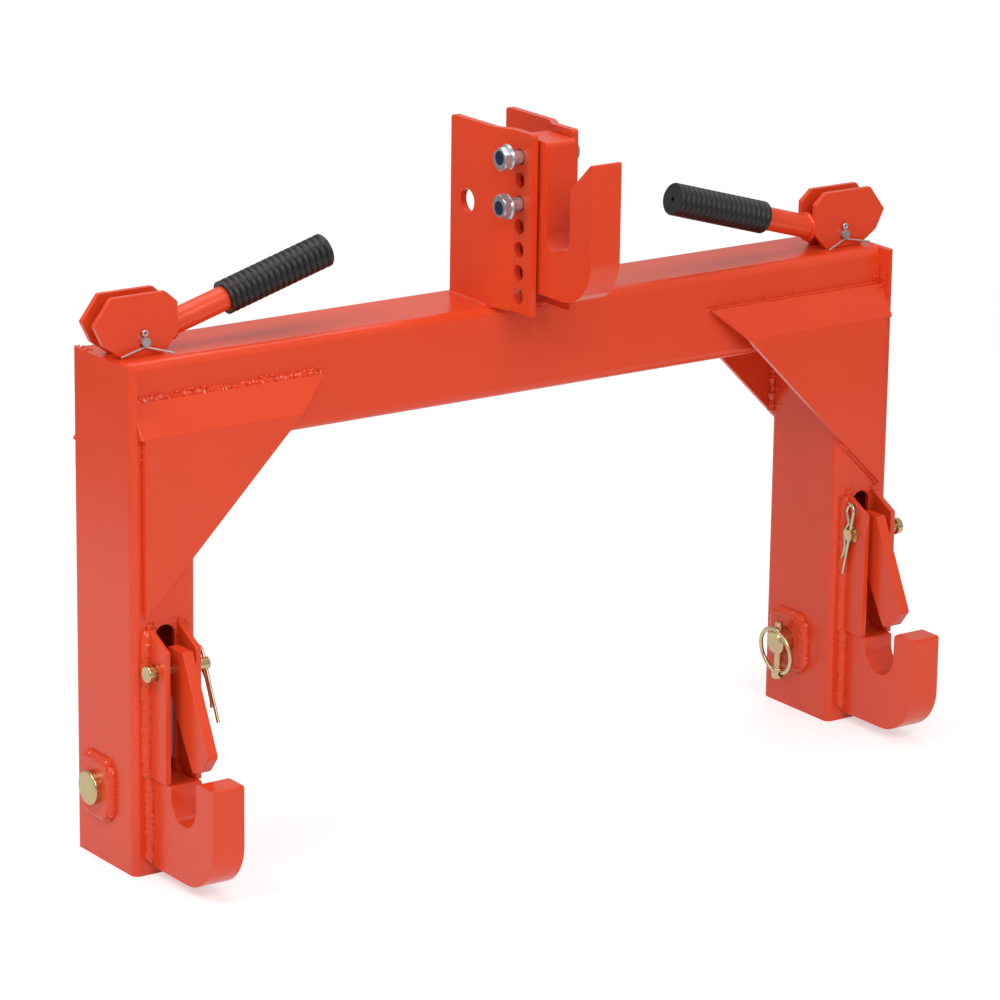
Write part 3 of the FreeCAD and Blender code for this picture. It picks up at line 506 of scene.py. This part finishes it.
def cheek_welds(work, side, draw):
    """Short runs on the leg's top, where the beam's end meets the cheek, and spatter beside them."""
    outer, inner, front, back = leg_faces(side)
    gusset_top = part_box(side + "_front_gusset")[1].z
    beam_low, beam_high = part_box("top_beam")
    cheek = cheek_and_tip(side)[0]
    run_z = beam_high.z - 1 * MM
    runs = ((beam_low.y + 9 * MM, beam_low.y + 14 * MM), (beam_high.y - 22 * MM, beam_high.y - 6 * MM))
    for start, end in runs:
        bead(work, [(cheek, start, run_z), (cheek, end, run_z)], 4 * MM, 0.3, draw)
    near, far = sorted((outer - outward(side) * 1 * MM, outer - outward(side) * 7 * MM))
    spatter(work, (near, back - 20 * MM, beam_high.z - 0.4 * MM),
            (far, back - 3 * MM, beam_high.z + SKIN), 8, 1.3 * MM, draw)
    if side == "right":
        spatter(work, (cheek - 9 * MM, front + 1 * MM, gusset_top - 20 * MM),
                (cheek - 1 * MM, beam_low.y + 0.3 * MM, gusset_top + 14 * MM), 26, 1.2 * MM, draw)


def mast_welds(work, draw):
    """Beads along the feet of the two mast plates, and one run across between them."""
    beam_low, beam_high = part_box("top_beam")
    width = sizes().light_weld
    for side in SIDES:
        low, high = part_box(side + "_mast_plate")
        face = high.x if side == "right" else low.x
        bead(work, [(face, beam_low.y + 10 * MM, beam_high.z), (face, high.y - 1 * MM, beam_high.z)],
             width, 0.15, draw)
        spatter(work, (face - 3 * MM, beam_low.y + 4 * MM, beam_high.z - 2 * MM),
                (face + 3 * MM, beam_low.y + 14 * MM, beam_high.z + 1 * MM), 8, 1.6 * MM, draw)
    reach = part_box("left_mast_plate")[1].x - 8 * MM
    front_y, front_z = beam_low.y + 3 * MM, beam_high.z - 3 * MM
    bead(work, [(reach, front_y, front_z), (-reach, front_y, front_z)], width, 0.3, draw)


def handle_weld(side, draw):
    """Ring of weld where the handle tube meets the cam plates."""
    work = bmesh.new()
    corners = [v.co for v in frame["nodes"][side + "_handle_bar"].data.vertices]
    reach = max(abs(c.x) for c in corners)
    rim = [c for c in corners if abs(abs(c.x) - reach) < 0.05 * MM]
    middle = sum(rim, Vector()) / len(rim)
    half_y = max(abs(c.y - middle.y) for c in rim)
    half_z = max(abs(c.z - middle.z) for c in rim)
    steps = 24
    ring = []
    for k in range(steps + 1):
        turn = 2 * math.pi * k / steps
        ring.append((middle.x, middle.y + half_y * math.cos(turn), middle.z + half_z * math.sin(turn)))
    bead(work, ring, 4.4 * MM, 0.15, draw)
    add_piece(side + "_handle_weld", work, "paint", body_of_node(side + "_handle_bar"), finish="weld_paint")


# ---------------------------------------------------------------- operators

class HITCH_OT_painted_plates(bpy.types.Operator):
    """Paint the flame cut plates and round their arrises"""
    bl_idname = "hitch.painted_plates"
    bl_label = "Painted plates"

    def execute(self, context):
        for side in SIDES:
            for plate in PAINTED_PLATES:
                finish = "flame_cut_paint" if plate in FLAME_CUT else None
                dress(side + "_" + plate, sizes().plate_arris, finish)
        dress("top_hook", sizes().plate_arris, "flame_cut_paint")
        return {"FINISHED"}


class HITCH_OT_painted_tubes(bpy.types.Operator):
    """Paint the rectangular tubes and the handle bars"""
    bl_idname = "hitch.painted_tubes"
    bl_label = "Painted tubes"

    def execute(self, context):
        for side in SIDES:
            for tube in PAINTED_TUBES:
                dress(side + "_" + tube, sizes().tube_arris)
        dress("top_beam", sizes().tube_arris)
        return {"FINISHED"}


class HITCH_OT_welds(bpy.types.Operator):
    """Lay the weld beads and their spatter"""
    bl_idname = "hitch.welds"
    bl_label = "Welds"

    def execute(self, context):
        draw = random.Random(7)
        for side in SIDES:
            work = bmesh.new()
            ear_and_hook_welds(work, side, draw)
            pad_welds(work, side, draw)
            gusset_welds(work, side, draw)
            cheek_welds(work, side, draw)
            add_piece(side + "_welds", work, "paint", body_of_node(side + "_leg"), finish="weld_paint")
            handle_weld(side, draw)
        work = bmesh.new()
        mast_welds(work, draw)
        add_piece("mast_welds", work, "paint", body_of_node("top_beam"), finish="weld_paint")
        return {"FINISHED"}


BOLT_HEAD = 7.5 * MM  # height of a bolt's head
FLANGE_DEPTH = 1.8 * MM
# Radii as shares of the head's width across flats.
DISH = 0.33
FLANGE_OUTER = 0.56
FLANGE_INNER = 0.62


class HITCH_OT_bolt_ends(bpy.types.Operator):
    """Add the flange and the dished, blue tinted end of each top hook bolt"""
    bl_idname = "hitch.bolt_ends"
    bl_label = "Bolt ends"

    def execute(self, context):
        low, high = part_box("top_hook_bolts")
        middle_y = (low.y + high.y) / 2
        flats = high.y - low.y
        dishes = bmesh.new()
        flanges = bmesh.new()
        for z in (low.z + flats / 2, high.z - flats / 2):
            across = Matrix.Rotation(math.radians(90), 4, "Y")
            dish = Matrix.Translation((low.x - 0.1 * MM, middle_y, z)) @ across
            bmesh.ops.create_cone(dishes, cap_ends=True, segments=32, radius1=DISH * flats,
                                  radius2=DISH * flats, depth=0.4 * MM, matrix=dish)
            flange = Matrix.Translation((low.x + BOLT_HEAD - FLANGE_DEPTH / 2, middle_y, z)) @ across
            bmesh.ops.create_cone(flanges, cap_ends=True, segments=40, radius1=FLANGE_OUTER * flats,
                                  radius2=FLANGE_INNER * flats, depth=FLANGE_DEPTH, matrix=flange)
        body = body_of_node("top_hook_bolts")
        add_piece("bolt_head_dishes", dishes, "bright_zinc", body, finish="blue_zinc")
        add_piece("bolt_flanges", flanges, "bright_zinc", body)
        return {"FINISHED"}


class HITCH_OT_hardware(bpy.types.Operator):
    """Plate the pins, bolts, clips and rods, and finish the grips"""
    bl_idname = "hitch.hardware"
    bl_label = "Hardware"

    def execute(self, context):
        for name, obj in frame["nodes"].items():
            if not obj.hide_render:
                cover(obj, slot_of_node(name))
        return {"FINISHED"}


LAMP_TARGET = Vector((0, 0, 0.3))
LAMPS = (  # name, place and width in metres, watts
    ("key", (-0.3, -2.4, 2.2), 1.6, 33),
    # The fill stands in the plane of the frame, so that the beam shades the right leg's inner side.
    ("fill", (-1.6, 0.0, 1.8), 1.0, 17),
    ("top", (0.3, 0.4, 2.6), 1.8, 18),
    # A small bright lamp, for the glints on weld beads and plated parts.
    ("glint", (-1.6, -2.6, 2.4), 0.22, 10),
)
CAMERA_PLACE = (-2.222, -3.09685, 1.365)
CAMERA_TURN = 35.283  # degrees to the right of straight ahead
CAMERA_DOWN = 16.292
CAMERA_ROLL = 0.808
CAMERA_LENS = 174.9  # mm
SENSOR_WIDTH = 36  # mm


class HITCH_OT_stage(bpy.types.Operator):
    """Floor, backdrop, lamps and camera"""
    bl_idname = "hitch.stage"
    bl_label = "Stage"

    def execute(self, context):
        make_floor()
        make_world()
        make_lamps()
        make_camera()
        context.scene.view_settings.view_transform = "Standard"
        return {"FINISHED"}


def fade(tree, distance, near, far, near_value, far_value):
    """Value that goes evenly from one distance to another, in metres."""
    made = node(tree, "ShaderNodeMapRange", [("Value", distance)])
    for key, value in (("From Min", near), ("From Max", far), ("To Min", near_value), ("To Max", far_value)):
        made.inputs[key].default_value = value
    return made


def make_floor():
    """White paper that shows white to the camera and ends in the enamel's mirror image."""
    work = bmesh.new()
    bmesh.ops.create_grid(work, x_segments=1, y_segments=1, size=6.0)
    mesh = bpy.data.meshes.new("floor")
    work.to_mesh(mesh)
    work.free()
    floor = bpy.data.objects.new("floor", mesh)
    bpy.context.scene.collection.objects.link(floor)
    material = bpy.data.materials.new("white_paper")
    material.use_nodes = True
    tree = material.node_tree
    tree.nodes.clear()
    place = tree.nodes.new("ShaderNodeTexCoord").outputs["Object"]
    radius = node(tree, "ShaderNodeVectorMath", [(0, place)], operation="LENGTH").outputs["Value"]
    path = tree.nodes.new("ShaderNodeLightPath")
    diffuse = node(tree, "ShaderNodeBsdfDiffuse", Color=(0.95, 0.95, 0.95, 1))
    sheen = node(tree, "ShaderNodeBsdfGlossy", Color=(1, 1, 1, 1), Roughness=0.3)
    paper = node(tree, "ShaderNodeMixShader", [(1, diffuse.outputs[0]), (2, sheen.outputs[0])])
    paper.inputs[0].default_value = 0.12
    lift = node(tree, "ShaderNodeEmission", Color=(1, 1, 1, 1), Strength=0.34)
    bright_paper = node(tree, "ShaderNodeAddShader", [(0, paper.outputs[0]), (1, lift.outputs[0])])
    # The paper shows white to the camera, a little less so near the hitch, where its shadow falls.
    glow = node(tree, "ShaderNodeEmission", Color=(1, 1, 1, 1), Strength=1.0)
    shadow_free = fade(tree, radius, 0.7, 1.9, 0.3, 1.0)
    seen = node(tree, "ShaderNodeMixShader", [(0, shadow_free.outputs[0]), (1, bright_paper.outputs[0]),
                                              (2, glow.outputs[0])])
    # Mirrored in the enamel, the lit paper ends about 1.2 m from the hitch.
    lit_edge = fade(tree, radius, 1.1, 1.5, 0.85, 0.15)
    mirrored = node(tree, "ShaderNodeEmission", [("Strength", lit_edge.outputs[0])], Color=(1, 1, 1, 1))
    other = node(tree, "ShaderNodeMixShader", [(0, path.outputs["Is Glossy Ray"]), (1, diffuse.outputs[0]),
                                               (2, mirrored.outputs[0])])
    mix = node(tree, "ShaderNodeMixShader", [(0, path.outputs["Is Camera Ray"]), (1, other.outputs[0]),
                                             (2, seen.outputs[0])])
    out = tree.nodes.new("ShaderNodeOutputMaterial")
    tree.links.new(mix.outputs[0], out.inputs[0])
    mesh.materials.append(material)


def make_world():
    """White to the camera, dimmer as light and in mirror images."""
    world = bpy.data.worlds.new("studio")
    world.use_nodes = True
    tree = world.node_tree
    tree.nodes.clear()
    path = tree.nodes.new("ShaderNodeLightPath")
    shown = node(tree, "ShaderNodeBackground", Color=(1, 1, 1, 1), Strength=1.0)
    dim = node(tree, "ShaderNodeBackground", Color=(1, 1, 1, 1), Strength=0.5)
    lit = node(tree, "ShaderNodeBackground", Color=(1, 1, 1, 1), Strength=0.38)
    glossy = node(tree, "ShaderNodeMixShader", [(0, path.outputs["Is Glossy Ray"]), (1, lit.outputs[0]),
                                                (2, dim.outputs[0])])
    mix = node(tree, "ShaderNodeMixShader", [(0, path.outputs["Is Camera Ray"]), (1, glossy.outputs[0]),
                                             (2, shown.outputs[0])])
    out = tree.nodes.new("ShaderNodeOutputWorld")
    tree.links.new(mix.outputs[0], out.inputs[0])
    bpy.context.scene.world = world


def make_lamp(name, place, size, watts):
    data = bpy.data.lights.new(name, "AREA")
    data.shape = "SQUARE"
    data.size = size
    data.energy = watts
    lamp = bpy.data.objects.new(name, data)
    bpy.context.scene.collection.objects.link(lamp)
    lamp.location = place
    lamp.rotation_mode = "QUATERNION"
    lamp.rotation_quaternion = (LAMP_TARGET - Vector(place)).to_track_quat("-Z", "Y")


def make_lamps():
    for lamp in LAMPS:
        make_lamp(*lamp)


def make_camera():
    """Camera that stands to the left and above, with a slight roll."""
    turn, down, roll = [math.radians(angle) for angle in (CAMERA_TURN, CAMERA_DOWN, CAMERA_ROLL)]
    ahead = Vector((math.sin(turn) * math.cos(down), math.cos(turn) * math.cos(down), -math.sin(down)))
    right = Vector((math.cos(turn), -math.sin(turn), 0))
    up = right.cross(ahead)
    rolled_right = math.cos(roll) * right + math.sin(roll) * up
    rolled_up = -math.sin(roll) * right + math.cos(roll) * up
    data = bpy.data.cameras.new("camera")
    data.sensor_width = SENSOR_WIDTH
    data.lens = CAMERA_LENS
    data.clip_end = 50
    camera = bpy.data.objects.new("camera", data)
    bpy.context.scene.collection.objects.link(camera)
    rows = [(*axes, place) for *axes, place in zip(rolled_right, rolled_up, -ahead, CAMERA_PLACE)]
    camera.matrix_world = Matrix((*rows, (0, 0, 0, 1)))
    bpy.context.scene.camera = camera


class HITCH_PT_panel(bpy.types.Panel):
    """Sidebar panel that lists the hitch's pieces"""
    bl_idname = "HITCH_PT_panel"
    bl_label = "Quick hitch"
    bl_space_type = "VIEW_3D"
    bl_region_type = "UI"
    bl_category = "Hitch"

    def draw(self, context):
        column = self.layout.column()
        for operator in OPERATORS:
            column.operator(operator.bl_idname)


OPERATORS = (HITCH_OT_painted_plates, HITCH_OT_painted_tubes, HITCH_OT_welds, HITCH_OT_hardware,
             HITCH_OT_bolt_ends, HITCH_OT_stage)
CLASSES = (HitchSizes, HitchColours, *OPERATORS, HITCH_PT_panel)


def register():
    for cls in CLASSES:
        bpy.utils.register_class(cls)
    bpy.types.Scene.hitch_sizes = bpy.props.PointerProperty(type=HitchSizes)
    bpy.types.Scene.hitch_colours = bpy.props.PointerProperty(type=HitchColours)


def unregister():
    del bpy.types.Scene.hitch_colours
    del bpy.types.Scene.hitch_sizes
    for cls in reversed(CLASSES):
        bpy.utils.unregister_class(cls)


def main():
    register()
    bpy.ops.hitch.painted_plates()
    bpy.ops.hitch.painted_tubes()
    bpy.ops.hitch.welds()
    bpy.ops.hitch.hardware()
    bpy.ops.hitch.bolt_ends()
    bpy.ops.hitch.stage()


if __name__ == "__main__":
    main()
